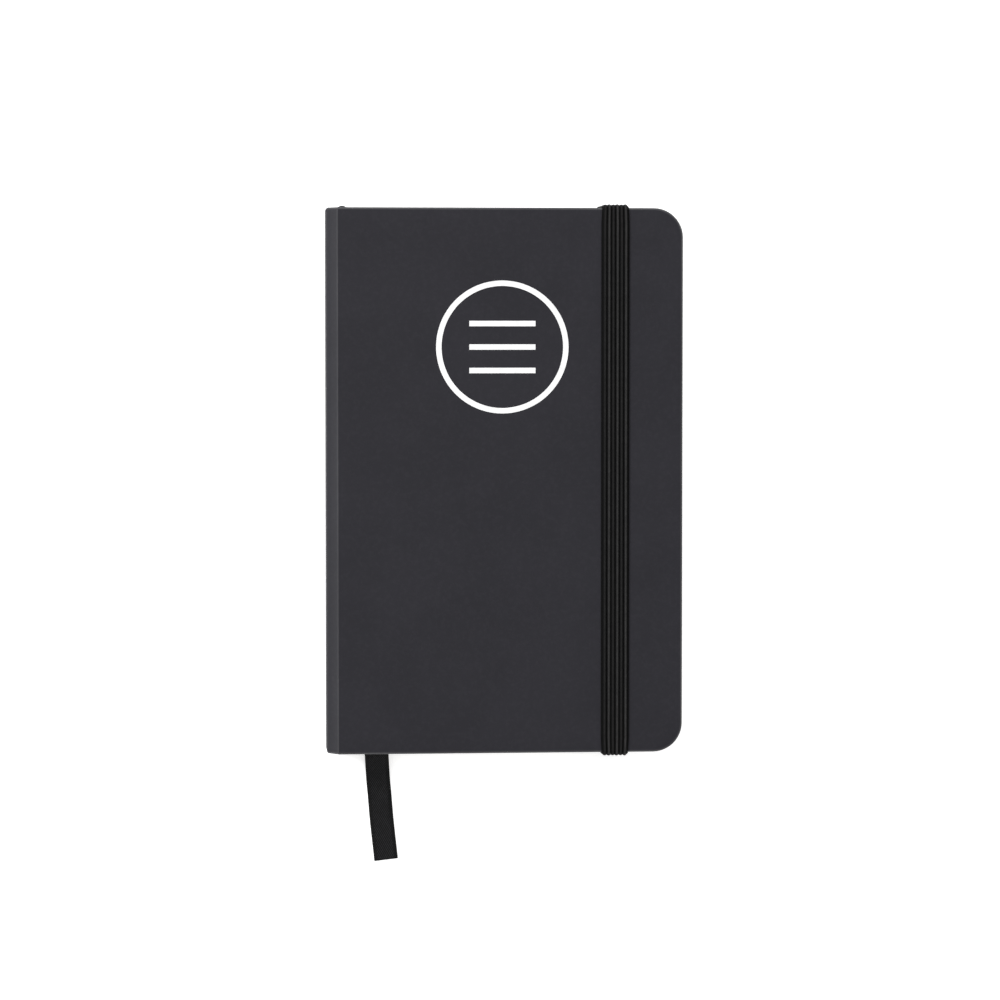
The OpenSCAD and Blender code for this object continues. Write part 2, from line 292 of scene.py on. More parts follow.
def board_covering(x0, xs, across, radius, edge, turn_in):
    """Points, faces, depths and edge marks of the closed covering round one board.

    A profile of (inset, depth) pairs is carried round the outline: over the rounded outer edge,
    down the board's edge, in along the turned-in strip and back against the board. The outer
    face and the skin's inner face are grids that share the first and the last ring.
    """
    a = np.radians(np.linspace(0, 90, 7))
    lip = 0.35 * MM
    outer = np.stack([edge * (1 - np.sin(a)), edge * (1 - np.cos(a))], axis=1)
    inner = np.stack([lip * (1 - np.cos(a)), CASE_T - lip * (1 - np.sin(a))], axis=1)
    thin = 0.2 * MM
    tip = [[turn_in - thin, CASE_T], [turn_in, CASE_T - thin / 2], [turn_in - thin, CASE_T - thin]]
    back = [[WRAP_T, CASE_T - thin], [WRAP_T, WRAP_T]]
    profile = np.concatenate([outer, inner, tip, back])
    # Painted highlight mark: strongest halfway round the rounded outer edge, weaker round the inner
    # lip
    edge_highlight = np.concatenate([np.sin(2 * a), 0.35 * np.sin(2 * a), np.zeros(5)])

    points, rings, depth, mark = [], [], [], []
    last = len(profile) - 1
    start = 0
    for k, (inset, w) in enumerate(profile):
        grid = outline_grid(x0, xs, across, inset, radius)
        full = k in (0, last)
        flat = grid.reshape(-1, 2) if full else rim(grid)
        number = start + np.arange(len(flat))
        rings.append(rim(number.reshape(grid.shape[:2])) if full else number)
        points.append(flat)
        depth.append(np.full(len(flat), w))
        mark.append(np.full(len(flat), edge_highlight[k]))
        if k == 0:
            top = number.reshape(grid.shape[:2])
        if k == last:
            under = number.reshape(grid.shape[:2])
        start += len(flat)
    faces = grid_faces(top) + grid_faces(under) + grid_faces(np.array(rings))
    ends = [ring[0] for ring in rings] + under[0, 1:-1].tolist()
    ends += [ring[-1] for ring in rings[::-1]] + top[0, -2:0:-1].tolist()
    faces.append([int(i) for i in ends])
    skin = np.arange(start) >= start - under.size
    return np.concatenate(points), faces, np.concatenate(depth), np.concatenate(mark), skin


def make_front_covering():
    """The front board's covering."""
    s = sizes()
    xs = np.linspace(X_FRONT, X_FORE - s.corner_radius, 24)
    across = np.linspace(-1, 1, 33)
    flat, faces, depth, mark, _ = board_covering(
        X_FRONT, xs, across, s.corner_radius, s.edge_radius, s.turn_in)
    points = np.column_stack([flat, Z_TOP - depth])
    # The mark paints a highlight along the covering's rounded edges
    piece = add_piece("front_covering", points, faces, cover_material(),
                      marks={"painted_lit": mark})
    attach(piece, FRONT)
    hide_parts("front_cover_wrap")


def make_back_covering():
    """The back board's covering, pressed in by channels where the elastic's ends lie.

    Inside a channel the depth of the outer face is at least the channel's, and the skin's
    inner face follows one covering thickness deeper.
    """
    s = sizes()
    side = BAND_W / 2 + s.channel_side
    step = 0.08 * MM
    lines = [BAND_X + d for w in (side, side + WRAP_T)
             for d in (-w - step, -w + step, w - step, w + step)]
    xs = np.unique(np.concatenate([np.linspace(X_BACK, X_FORE - s.corner_radius, 24), lines]))
    slit = HALF_H - s.slit_inset
    cuts = np.array([slit - WRAP_T - step, slit - WRAP_T + step, slit - step, slit + step]) / HALF_H
    across = np.unique(np.concatenate([np.linspace(-1, 1, 33), cuts, -cuts]))
    flat, faces, depth, mark, skin = board_covering(
        X_BACK, xs, across, s.corner_radius, s.edge_radius, s.turn_in)
    x, y = np.abs(flat[:, 0] - BAND_X), np.abs(flat[:, 1])
    pressed = (x < side) & (y > slit) & ~skin
    behind = (x < side + WRAP_T) & (y > slit - WRAP_T) & skin
    depth = np.where(pressed, np.maximum(depth, s.channel), depth)
    depth = np.where(behind, np.maximum(depth, s.channel + WRAP_T), depth)
    points = np.column_stack([flat, depth])
    # The mark paints a highlight along the covering's rounded edges
    piece = add_piece("back_covering", points, faces, cover_material(),
                      marks={"painted_lit": mark})
    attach(piece, BACK)
    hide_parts("back_cover_wrap")


# ---- Covering of the spine and its folds ----------------------------------------------------

def covering_strip(path, inward, lips):
    """Rings of a strip of covering that follows a path in the XZ plane from spine end to end.

    At each point of the path the ring is a channel: the outer face, rounded edges at tail and
    head, lips as deep as lips says, and the inner face one covering thickness in.
    """
    edge = sizes().edge_radius
    a = np.radians(np.linspace(0, 90, 6))
    rings = []
    for (x, z), n, lip in zip(path, inward, lips):
        head = np.stack([HALF_H - edge * (1 - np.sin(a)), edge * (1 - np.cos(a))], axis=1)
        tip = [[HALF_H, lip - SHORT_OF], [HALF_H - SHORT_OF, lip], [HALF_H - WRAP_T, lip],
               [HALF_H - WRAP_T, WRAP_T]]
        half = np.concatenate([[[HALF_H / 2, 0]], head, tip, [[HALF_H / 2, WRAP_T]]])
        loop = np.concatenate([half, half[::-1] * [-1, 1]])
        rings.append(np.column_stack([x + n[0] * loop[:, 1], loop[:, 0], z + n[1] * loop[:, 1]]))
    # Painted highlight mark, strongest halfway round the rounded edges at tail and head
    edge_highlight = np.concatenate([[0], np.sin(2 * a), np.zeros(5)])
    return np.array(rings), np.concatenate([edge_highlight, edge_highlight[::-1]])


def make_spine_covering():
    """The covering from the back cover round the back fold and up the spine."""
    turn = arc(X_PIVOT, FOLD_R, FOLD_R, 270, 180, 8)
    rise = np.linspace(FOLD_R, Z_SPINE, 7)[1:]
    path = np.concatenate([turn, np.column_stack([np.full(len(rise), X_SPINE), rise])])
    centre = np.array([X_PIVOT, FOLD_R])
    inward = np.concatenate([(centre - turn) / FOLD_R, np.tile([1.0, 0.0], (len(rise), 1))])
    lips = np.concatenate([np.full(len(turn), FOLD_R - SHORT_OF), np.full(len(rise), LIP_T)])
    rings, edge_highlight = covering_strip(path, inward, lips)
    # Painted highlight: the outer face also grows paler towards the head, most at the spine's foot
    # and top
    bow = np.sin(np.clip((path[:, 1] - FOLD_R) / (Z_SPINE - FOLD_R), 0, 1) * math.pi)
    painted_highlight = edge_highlight[None, :] + 0.25 * (1 - bow[:, None]) * (np.arange(len(edge_highlight)) < 3)[None, :]
    piece = add_piece("spine_covering", rings, loft(rings), cover_material(),
                      marks={"painted_lit": painted_highlight})
    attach(piece, BACK)
    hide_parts("spine_wrap", "back_fold")


def make_front_fold():
    """The covering's sloped shoulder from the spine to the front cover, which bends to open.

    The path rises up the spine, rounds into a straight slope and rounds off onto the cover.
    """
    s = sizes()
    corners = np.array([
        [X_SPINE, Z_SPINE],
        [X_SPINE, Z_TOP - s.shoulder_drop],
        [X_FRONT - s.shoulder_ease, Z_TOP],
        [X_FRONT, Z_TOP],
    ])
    corner_radii = [1.2 * MM, 0.45 * MM]
    lip_depth = 0.9 * MM
    highlight_width = 0.4 * MM
    path, normal = rounded_corners(corners, corner_radii)
    rings, edge_highlight = covering_strip(path, normal, np.full(len(path), lip_depth))
    # Painted highlight: a pale line across the outer face where the slope rounds onto the cover, on
    # top of the edge highlight
    crease_highlight = np.exp(-(np.linalg.norm(path - corners[2], axis=1) / highlight_width) ** 2)
    outer = np.zeros(len(edge_highlight))
    outer[[0, 1, -1, -2]] = 1
    painted_highlight = np.maximum(edge_highlight[None, :], 0.4 * crease_highlight[:, None] * outer[None, :])
    piece = add_piece("front_fold_covering", rings, loft(rings), cover_material(),
                      marks={"painted_lit": painted_highlight})
    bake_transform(piece)
    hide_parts("front_fold")


def rounded_corners(corners, radii, steps=7):
    """A path through corner points with each inner corner rounded, and its inward normals.

    Corner i is swept by a quadratic curve from one radius before it to one radius after it.
    """
    path = [corners[:1]]
    for before, here, after, r in zip(corners, corners[1:], corners[2:], radii):
        a = here + (before - here) * min(0.5, r / np.linalg.norm(before - here))
        b = here + (after - here) * min(0.5, r / np.linalg.norm(after - here))
        t = np.linspace(0, 1, steps)[:, None]
        path.append((1 - t) ** 2 * a + 2 * t * (1 - t) * here + t ** 2 * b)
    path = np.concatenate([*path, corners[-1:]])
    along = np.gradient(path, axis=0)
    along /= np.linalg.norm(along, axis=1)[:, None]
    along[0] = (corners[1] - corners[0]) / np.linalg.norm(corners[1] - corners[0])
    along[-1] = (corners[-1] - corners[-2]) / np.linalg.norm(corners[-1] - corners[-2])
    return path, np.column_stack([along[:, 1], -along[:, 0]])


# ---- Paper ----------------------------------------------------------------------------------

# The most that a sheet falls short of the block at its fore edge, and at head and tail
FORE_SCATTER = 0.22 * MM
END_SCATTER = 0.12 * MM
# How far each of a leaf's two sheets lies from the leaf's middle
LEAF_HALF_GAP = 0.06 * MM


def sheet_rings(path, thickness, half_h, x_out):
    """Rings of a sheet that follows a path in the XZ plane, with round fore-edge corners.

    Each ring is a thin rectangle across the sheet, as long as the outline is at that x:
    half_h - r + sqrt(r^2 - d^2), where d is how far x stands inside the corner.
    """
    r = sizes().page_radius
    along = np.gradient(path, axis=0)
    along /= np.linalg.norm(along, axis=1)[:, None]
    normal = np.column_stack([-along[:, 1], along[:, 0]]) * thickness / 2
    d = np.clip(path[:, 0] - (x_out - r), 0, r)
    half = half_h - r + np.sqrt(np.maximum(r * r - d * d, 0))
    up, down = path + normal, path - normal
    corners = [(up, -half), (up, half), (down, half), (down, -half)]
    rings = np.stack([np.column_stack([p[:, 0], y, p[:, 1]]) for p, y in corners], axis=1)
    uv = np.stack([np.column_stack([path[:, 0], y]) for _, y in corners], axis=1)
    return rings, uv.reshape(-1, 2)


def page_stations(x_in, x_out):
    """Places across a sheet, close together where its corners round off."""
    r = sizes().page_radius
    a = np.linspace(0, math.pi / 2, 11)
    return np.concatenate([np.linspace(x_in, x_out - r, 8)[:-1], x_out - r + r * np.sin(a)])


def make_sections():
    """The sewn sections, each of nested folded sheets with their folds at the spine."""
    s = sizes()
    draw = np.random.default_rng(7)
    for name in SECTIONS:
        lo, hi = low(name, 2), high(name, 2)
        pitch = (hi - lo) / (2 * s.folded_sheets)
        middle = (lo + hi) / 2
        parts, uvs = [], []
        for k in range(s.folded_sheets):
            r = (k + 0.5) * pitch
            x_out = X_PAGE - draw.uniform(0, FORE_SCATTER)
            half = HALF_PAGE - draw.uniform(0, END_SCATTER)
            x_fold = X_BLOCK + s.folded_sheets * pitch
            x = page_stations(x_fold, x_out)
            bend = arc(x_fold, middle, r, 90, 270, 8)[1:-1]
            upper = np.column_stack([x[::-1], np.full(len(x), middle + r)])
            lower = np.column_stack([x, np.full(len(x), middle - r)])
            rings, uv = sheet_rings(np.concatenate([upper, bend, lower]), s.sheet, half, x_out)
            parts.append(rings)
            uvs.append(uv)
        points, faces = join_lofts(parts)
        piece = add_piece(name + "_sheets", points, faces, page_material(),
                          uv=np.concatenate(uvs))
        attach(piece, BACK)
        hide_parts(name)


def make_leaves():
    """The flyleaf and the turning leaves, each two sheets that bend up out of the gutter."""
    s = sizes()
    draw = np.random.default_rng(11)
    for name in LEAVES:
        body = name.replace("front_", "") + "_body"
        pivot = LEAF_PIVOT[body]
        parts, uvs = [], []
        for offset in (-LEAF_HALF_GAP, LEAF_HALF_GAP):
            x_out = X_PAGE - draw.uniform(0, FORE_SCATTER)
            half = HALF_PAGE - draw.uniform(0, END_SCATTER)
            gutter = np.linspace(X_BLOCK, pivot.x, 4)[:-1]
            bend = np.linspace(pivot.x, pivot.x + s.page_bend, 17)[:-1]
            x = np.concatenate([gutter, bend, page_stations(pivot.x + s.page_bend, x_out)])
            path = np.column_stack([x, np.full(len(x), pivot.z + offset)])
            rings, uv = sheet_rings(path, s.sheet, half, x_out)
            parts.append(rings)
            uvs.append(uv)
        points, faces = join_lofts(parts)
        fly = name == "front_flyleaf"
        material, slot = (endpaper_material(), "endpaper") if fly else (page_material(), "page")
        piece = add_piece(name + "_sheets", points, faces, material, uv=np.concatenate(uvs))
        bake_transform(piece)
        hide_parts(*([name, "leaf_bound_edge"] if name == "leaf_1" else [name]))


# ---- Elastic --------------------------------------------------------------------------------

# The cords' shape: power of the arch, height of the lower cords, and height at the band's sides
CORD_POWER = 0.7
LOW_CORD = 0.82
SIDE_SHARE = 0.35


def band_rings(path, outward, narrow):
    """Rings of the ribbed band along a path in the YZ plane.

    Across the band, the outer face stands (t - g) + g * |sin(n pi u)| ^ CORD_POWER from the
    path, for thickness t, groove depth g and n cords. Every other cord is lower by LOW_CORD.
    """
    s = sizes()
    n = s.rib_count
    u = np.linspace(0, 1, 8 * n + 1)
    cord = np.minimum((u * n).astype(int), n - 1)
    arch = np.abs(np.sin(n * math.pi * u)) ** CORD_POWER
    tall = np.where(cord % 2 == 1, 1.0, LOW_CORD)
    height = BAND_T - s.rib_depth + s.rib_depth * arch * tall
    side = s.side_slope / BAND_W
    side_rise = BAND_T * SIDE_SHARE
    rise = np.concatenate([height, [side_rise, 0.0, 0.0, side_rise]])
    place = np.concatenate([side + u * (1 - 2 * side), [1.0, 1.0, 0.0, 0.0]]) - 0.5
    x = BAND_X + np.outer(narrow, place * BAND_W)
    y = path[:, :1] + outward[:, :1] * rise
    z = path[:, 1:] + outward[:, 1:] * rise
    along = path_length(path)[:, None] + 0 * x
    uv = np.stack([x - BAND_X, along], axis=-1)
    # Zero at the band's sides, which so take the near-black painted shade
    ridge = np.concatenate([arch * tall, np.zeros(4)])
    return np.stack([x, y, z], axis=-1), uv, np.tile(ridge, (len(path), 1))


def add_band(name, path, outward, narrow, node):
    """One piece of the elastic along a path."""
    rings, uv, ridge = band_rings(path, outward, narrow)
    piece = add_piece(name, rings, loft(rings), elastic_material(), uv=uv,
                      marks={"ridge": ridge})
    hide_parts(node)
    return piece


def make_elastic():
    """The front run, a leg over the head and the tail, and the ends along the back."""
    s = sizes()
    inner = BAND_Y - BAND_T
    z_in = BAND_Z - BAND_T
    bend_r = 0.5 * MM
    cy, cz = inner - bend_r, z_in - bend_r
    corner = arc(cy, cz, bend_r, 0, 90, 8)
    out = (corner - [cy, cz]) / bend_r
    run = np.linspace(cy, -cy, 41)[1:-1]
    path = np.concatenate([
        corner,
        np.column_stack([run, np.full(len(run), z_in)]),
        corner[::-1] * [-1, 1],
    ])
    outward = np.concatenate([out, np.tile([0.0, 1.0], (len(run), 1)), out[::-1] * [-1, 1]])
    squeeze_share, squeeze_w = 0.05, 1.2 * MM
    near_edge = np.exp(-((np.abs(path[:, 0]) - HALF_H) / squeeze_w) ** 2)
    squeeze = 1 - squeeze_share * near_edge
    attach(add_band("elastic_front", path, outward, squeeze, "elastic_front_run"), BAND)

    z_low = low("elastic_head_leg", 2)
    z = np.linspace(cz, z_low, 15)
    for name, side in (("head", 1), ("tail", -1)):
        path = np.column_stack([np.full(len(z), side * inner), z])
        outward = np.tile([float(side), 0.0], (len(z), 1))
        leg = add_band(f"elastic_{name}_side", path, outward, np.full(len(z), squeeze[0]),
                       f"elastic_{name}_leg")
        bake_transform(leg)

    slit = HALF_H - s.slit_inset
    small = 0.02 * MM
    under = arc(inner - small, z_low + small, small, 0, -90, 8)
    under_out = (under - [inner - small, z_low + small]) / small
    flat = np.linspace(inner, slit + BAND_T, 9)[1:]
    tuck = arc(slit + BAND_T, z_low + small, small, -90, -180, 6)[1:]
    tuck_out = (tuck - [slit + BAND_T, z_low + small]) / small
    rise = np.linspace(z_low + small, CASE_T - SHORT_OF, 4)[1:]
    path = np.concatenate([
        under,
        np.column_stack([flat, np.full(len(flat), z_low)]),
        tuck,
        np.column_stack([np.full(len(rise), slit + BAND_T - small), rise]),
    ])
    outward = np.concatenate([
        under_out,
        np.tile([0.0, -1.0], (len(flat), 1)),
        tuck_out,
        np.tile([-1.0, 0.0], (len(rise), 1)),
    ])
    parts = []
    for side in (1, -1):
        parts.append(band_rings(path * [side, 1], outward * [side, 1], np.ones(len(path))))
    points, faces = join_lofts([p[0] for p in parts])
    uv = np.concatenate([p[1].reshape(-1, 2) for p in parts])
    ridge = np.concatenate([p[2].ravel() for p in parts])
    piece = add_piece("elastic_ends_band", points, faces, elastic_material(), uv=uv,
                      marks={"ridge": ridge})
    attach(piece, BACK)
    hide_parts("elastic_ends")


# ---- Ribbon ---------------------------------------------------------------------------------

# The ribbon's way in millimetres: glued down the spine, over the head, through the block, out
RIBBON_ROUTE = [
    (-43.2, 46, 6), (-43.2, 54, 6), (-43.2, 62, 6), (-43.2, 66.6, 6),
    (-43.15, 68.5, 6), (-42.9, 69.7, 6), (-42.1, 70.35, 6), (-41.1, 70.4, 6),
    (-40.35, 69.8, 5.9), (-40, 69, 5.7), (-39.75, 67.7, 5.5), (-39.5, 66, 5.5),
    (-39.3, 58, 5.5), (-38.4, 40, 5.5), (-36.7, 10, 5.5), (-34.8, -30, 5.5),
    (-33.4, -58, 5.5), (-33, -66.6, 5.5), (-32.9, -69, 5.2), (-32.7, -71.5, 4.2),
    (-32.5, -74, 2.6), (-32.3, -76.5, 1.2), (-32.1, -79, 0.45), (-31.8, -82, 0.2),
    (-31.4, -87, 0.2), (-30.9, -92, 0.2), (-30.1, -99.2, 0.2),
]
# Points of the route between which the tape is gathered, and between which it turns flat
GATHER = (4, 9)
TWIST = (7, 10)


def smooth_ramp(u, a, b):
    """0 before a and 1 after b, with a smooth step between."""
    t = np.clip((u - a) / (b - a), 0, 1)
    return t * t * (3 - 2 * t)


def smooth_route(route, steps):
    """A smooth curve through the route's points, as cubic spans with matching slopes."""
    p = np.array(route, float) * MM
    last = len(p) - 1
    u = np.linspace(0, last, last * steps + 1)
    i = np.minimum(u.astype(int), last - 1)
    t = (u - i)[:, None]
    a, b, c, d = p[np.maximum(i - 1, 0)], p[i], p[i + 1], p[np.minimum(i + 2, last)]
    bend = (2 * a - 5 * b + 4 * c - d) * t + (3 * b - a - 3 * c + d) * t * t
    return u, 0.5 * (2 * b + (c - a) * t + bend * t)


def make_ribbon():
    """The ribbon marker: a flat tape that stands on edge at the spine and lies flat below it."""
    s = sizes()
    u, path = smooth_route(RIBBON_ROUTE, 6)
    along = np.gradient(path, axis=0)
    along /= np.linalg.norm(along, axis=1)[:, None]
    level = np.cross([0.0, 0.0, 1.0], along)
    level /= np.linalg.norm(level, axis=1)[:, None]
    upright = np.cross(along, level)
    turn = (math.pi / 2 * smooth_ramp(u, *TWIST))[:, None]
    across = np.cos(turn) * upright + np.sin(turn) * level
    out = np.cross(along, across)
    pull = smooth_ramp(u, GATHER[0] - 1, GATHER[0]) - smooth_ramp(u, GATHER[1], GATHER[1] + 2)
    gathered = 0.5
    half_w = s.ribbon_width / 2 * (1 - gathered * pull)
    half_t = s.ribbon_thickness / 2
    n = 17
    squareness = 12
    side = np.concatenate([np.linspace(1, -1, n), np.linspace(-1, 1, n)])
    bulge = np.sqrt(np.clip(1 - np.abs(side) ** squareness, 0, 1)) * np.repeat([1.0, -1.0], n)
    keep = np.ones(2 * n, bool)
    keep[[n, 2 * n - 1]] = False
    side, bulge = side[keep], bulge[keep]
    rings = (path[:, None] + across[:, None] * (side[None, :, None] * half_w[:, None, None])
             + out[:, None] * (bulge[None, :, None] * half_t))
    uv = np.stack([
        np.tile(side * s.ribbon_width / 2, (len(path), 1)),
        np.tile(path_length(path)[:, None], (1, len(side))),
    ], axis=-1)
    piece = add_piece("ribbon_tape", rings, loft(rings), ribbon_material(), uv=uv)
    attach(piece, BACK)
    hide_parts("ribbon_marker")


# ---- Shader helpers -------------------------------------------------------------------------

def put(tree, kind, settings=None, **inputs):
    """A node of that kind. Each input is a number, a colour, or the output that feeds it."""
    node = tree.nodes.new(kind)
    for key, value in (settings or {}).items():
        setattr(node, key, value)
    for key, value in inputs.items():
        socket = node.inputs[int(key[1:])] if key[0] == "i" and key[1:].isdigit() else \
            node.inputs[key.replace("_", " ")]
        if isinstance(value, bpy.types.NodeSocket):
            tree.links.new(value, socket)
        else:
            socket.default_value = value
    return node


def maths(tree, operation, a, b=0.0, c=0.0):
    """The output of a maths node."""
    return put(tree, "ShaderNodeMath", {"operation": operation}, i0=a, i1=b, i2=c).outputs[0]


def mixed(tree, share, a, b):
    """The output of a colour mix: a where share is 0, b where it is 1."""
    node = put(tree, "ShaderNodeMix", {"data_type": "RGBA"})
    for socket, value in ((node.inputs[0], share), (node.inputs[6], a), (node.inputs[7], b)):
        if isinstance(value, bpy.types.NodeSocket):
            tree.links.new(value, socket)
        else:
            socket.default_value = value
    return node.outputs[2]


def solid(values):
    """A colour setting with full alpha."""
    return (*values, 1.0)


def group(name, ins, outs, build):
    """A shader node group, made once: ins and outs name its sockets, build fills it."""
    tree = bpy.data.node_groups.get(name)
    if tree is None:
        tree = bpy.data.node_groups.new(name, "ShaderNodeTree")
        for label, kind, value in ins:
            socket = tree.interface.new_socket(label, in_out="INPUT", socket_type=kind)
            if value is not None:
                socket.default_value = value
        for label, kind in outs:
            tree.interface.new_socket(label, in_out="OUTPUT", socket_type=kind)
        build(tree, tree.nodes.new("NodeGroupInput").outputs,
              tree.nodes.new("NodeGroupOutput").inputs)
    return tree


def placed(tree, group_tree, **inputs):
    """The outputs of a node group put into a material."""
    return put(tree, "ShaderNodeGroup", {"node_tree": group_tree}, **inputs).outputs


def patches_group():
    """Soft cloudy patches: two octaves of noise, drawn out to a 0 to 1 mask."""
    def build(tree, given, result):
        place = put(tree, "ShaderNodeTexCoord").outputs["Object"]
        noise = put(tree, "ShaderNodeTexNoise", Vector=place, Scale=given["Scale"],
                    Detail=4.0, Roughness=0.6).outputs[0]
        ramp = put(tree, "ShaderNodeMapRange", {"interpolation_type": "SMOOTHSTEP"},
                   Value=noise, From_Min=given["Low"], From_Max=given["High"]).outputs[0]
        tree.links.new(ramp, result["Mask"])
    return group("Patches", [("Scale", "NodeSocketFloat", 40.0), ("Low", "NodeSocketFloat", 0.35),
                             ("High", "NodeSocketFloat", 0.65)],
                 [("Mask", "NodeSocketFloat")], build)


def fibre_group():
    """Fine fibres: noise stretched along X crossed with noise stretched along Y."""
    def build(tree, given, result):
        place = put(tree, "ShaderNodeTexCoord").outputs["Object"]
        sets = []
        for stretch in ((0.35, 1.0, 1.0), (1.0, 0.35, 1.0)):
            spot = put(tree, "ShaderNodeMapping", Vector=place, Scale=stretch).outputs[0]
            sets.append(put(tree, "ShaderNodeTexNoise", Vector=spot, Scale=given["Scale"],
                            Detail=2.0, Roughness=0.5).outputs[0])
        tree.links.new(maths(tree, "ADD", maths(tree, "MULTIPLY", sets[0], 0.5),
                             maths(tree, "MULTIPLY", sets[1], 0.5)), result["Height"])
    return group("Fibres", [("Scale", "NodeSocketFloat", 3000.0)],
                 [("Height", "NodeSocketFloat")], build)


def twill_group():
    """Diagonal ribs on a strip's own map: a sine of (across * Slope + along) / Pitch."""
    def build(tree, given, result):
        uv = put(tree, "ShaderNodeUVMap").outputs[0]
        split = put(tree, "ShaderNodeSeparateXYZ", Vector=uv).outputs
        lean = maths(tree, "MULTIPLY_ADD", split[0], given["Slope"], split[1])
        turns = maths(tree, "DIVIDE", maths(tree, "MULTIPLY", lean, 2 * math.pi), given["Pitch"])
        wave = maths(tree, "MULTIPLY_ADD", maths(tree, "SINE", turns), 0.5, 0.5)
        tree.links.new(wave, result["Height"])
        tree.links.new(maths(tree, "ABSOLUTE", split[0]), result["Across"])
    return group("Twill", [("Slope", "NodeSocketFloat", 1.0), ("Pitch", "NodeSocketFloat", 0.0007)],
                 [("Height", "NodeSocketFloat"), ("Across", "NodeSocketFloat")], build)


def new_material(name):
    """A new material with a Principled shader, as (material, tree, shader)."""
    material = bpy.data.materials.new(name)
    material.use_nodes = True
    tree = material.node_tree
    return material, tree, tree.nodes["Principled BSDF"]


def once(make):
    """Builds a material the first time it is asked for."""
    made = []

    def get():
        if not made:
            made.append(make())
        return made[0]
    get.__doc__ = make.__doc__
    return get


def bump(tree, shader, height, strength, distance):
    """Feeds the shader's normal from a height."""
    node = put(tree, "ShaderNodeBump", Height=height, Strength=strength, Distance=distance)
    tree.links.new(node.outputs[0], shader.inputs["Normal"])


# ---- Finishes -------------------------------------------------------------------------------

@once
def cover_material():
    """Matte soft-touch covering: fine pebble, cloudy patches and paler rubbed edges."""
    c = colours()
    material, tree, shader = new_material("soft_touch_cover")
    cloud = placed(tree, patches_group(), Scale=55.0, Low=0.36, High=0.66)["Mask"]
    speck = placed(tree, patches_group(), Scale=900.0, Low=0.42, High=0.7)["Mask"]
    fibre = placed(tree, fibre_group(), Scale=2600.0)["Height"]
    painted_lit = put(tree, "ShaderNodeAttribute", {"attribute_name": "painted_lit"}).outputs["Fac"]
    share = maths(tree, "ADD", maths(tree, "MULTIPLY", cloud, 0.45),
                  maths(tree, "MULTIPLY", speck, 0.4))
    base = mixed(tree, share, solid(c.cover), solid(c.cover_light))
    # Painted highlight: the edge mark, made patchy by the clouds, mixes in the pale edge colour
    highlight_share = maths(tree, "MULTIPLY", painted_lit, maths(tree, "MULTIPLY_ADD", cloud, 0.3, 0.7))
    tree.links.new(mixed(tree, highlight_share, base, solid(c.cover_edge_highlight)), shader.inputs["Base Color"])
    tree.links.new(maths(tree, "MULTIPLY_ADD", cloud, 0.06, 0.6), shader.inputs["Roughness"])
    shader.inputs["Specular IOR Level"].default_value = 0.24
    shader.inputs["Sheen Weight"].default_value = 0.02
    shader.inputs["Sheen Roughness"].default_value = 0.5
    bump(tree, shader, maths(tree, "MULTIPLY_ADD", speck, 0.5, fibre), 0.35, 0.00004)
    return material


# Ruled lines: half the distance between them, half a line's width, and where they end
RULE_HALF_PITCH = 3 * MM
RULE_HALF_WIDTH = 0.11 * MM
RULE_MIDDLE = -0.5 * MM
RULE_REACH = 36.5 * MM
RULE_TOP = 58 * MM


def paper(name, tint, ruled):
    """Uncoated paper with fine fibres, and grey ruled lines where ruled is true."""
    c = colours()
    material, tree, shader = new_material(name)
    cloud = placed(tree, patches_group(), Scale=260.0, Low=0.3, High=0.75)["Mask"]
    fibre = placed(tree, fibre_group(), Scale=4200.0)["Height"]
    shade = [v * 0.94 for v in tint]
    base = mixed(tree, cloud, solid(tint), solid(shade))
    if ruled:
        split = put(tree, "ShaderNodeSeparateXYZ",
                    Vector=put(tree, "ShaderNodeUVMap").outputs[0]).outputs
        along = maths(tree, "ADD", split[1], RULE_HALF_PITCH)
        place = maths(tree, "PINGPONG", along, RULE_HALF_PITCH)
        line = maths(tree, "LESS_THAN", place, RULE_HALF_WIDTH)
        across = maths(tree, "ABSOLUTE", maths(tree, "ADD", split[0], -RULE_MIDDLE))
        inside = maths(tree, "LESS_THAN", across, RULE_REACH)
        head = maths(tree, "LESS_THAN", split[1], RULE_TOP)
        shown = maths(tree, "MULTIPLY", maths(tree, "MULTIPLY", line, inside), head)
        base = mixed(tree, maths(tree, "MULTIPLY", shown, 0.55), base, solid(c.rule))
    tree.links.new(base, shader.inputs["Base Color"])
    shader.inputs["Roughness"].default_value = 0.88
    shader.inputs["Specular IOR Level"].default_value = 0.25
    bump(tree, shader, fibre, 0.25, 0.00003)
    return material


@once
def page_material():
    """Ivory writing paper with ruled lines."""
    return paper("ivory_page", list(colours().page), True)


@once
def endpaper_material():
    """Plain heavier ivory paper."""
    return paper("ivory_endpaper", list(colours().endpaper), False)


@once
def elastic_material():
    """Ribbed elastic: pale cords, dark grooves and fine cross threads along its map."""
    c = colours()
    material, tree, shader = new_material("ribbed_elastic")
    weave = placed(tree, twill_group(), Slope=0.0, Pitch=0.00032)["Height"]
    cord = placed(tree, twill_group(), Slope=1.6, Pitch=0.00041)["Height"]
    ridge = put(tree, "ShaderNodeAttribute", {"attribute_name": "ridge"}).outputs["Fac"]
    cloud = placed(tree, patches_group(), Scale=700.0, Low=0.3, High=0.7)["Mask"]
    # Painted light and shade: the cord colour on the cords' tops, near-black in the grooves and
    # along the sides
    cord_lit_share = maths(tree, "POWER", ridge, 4.5)
    share = maths(tree, "MULTIPLY", cord_lit_share, maths(tree, "MULTIPLY_ADD", cord, 0.35, 0.5))
    share = maths(tree, "MULTIPLY", share, maths(tree, "MULTIPLY_ADD", cloud, 0.3, 0.85))
    tree.links.new(mixed(tree, share, solid(c.elastic_groove_shade), solid(c.elastic)),
                   shader.inputs["Base Color"])
    shader.inputs["Roughness"].default_value = 0.72
    shader.inputs["Specular IOR Level"].default_value = 0.11
    bump(tree, shader, maths(tree, "MULTIPLY_ADD", weave, 0.6, cord), 0.5, 0.00007)
    return material


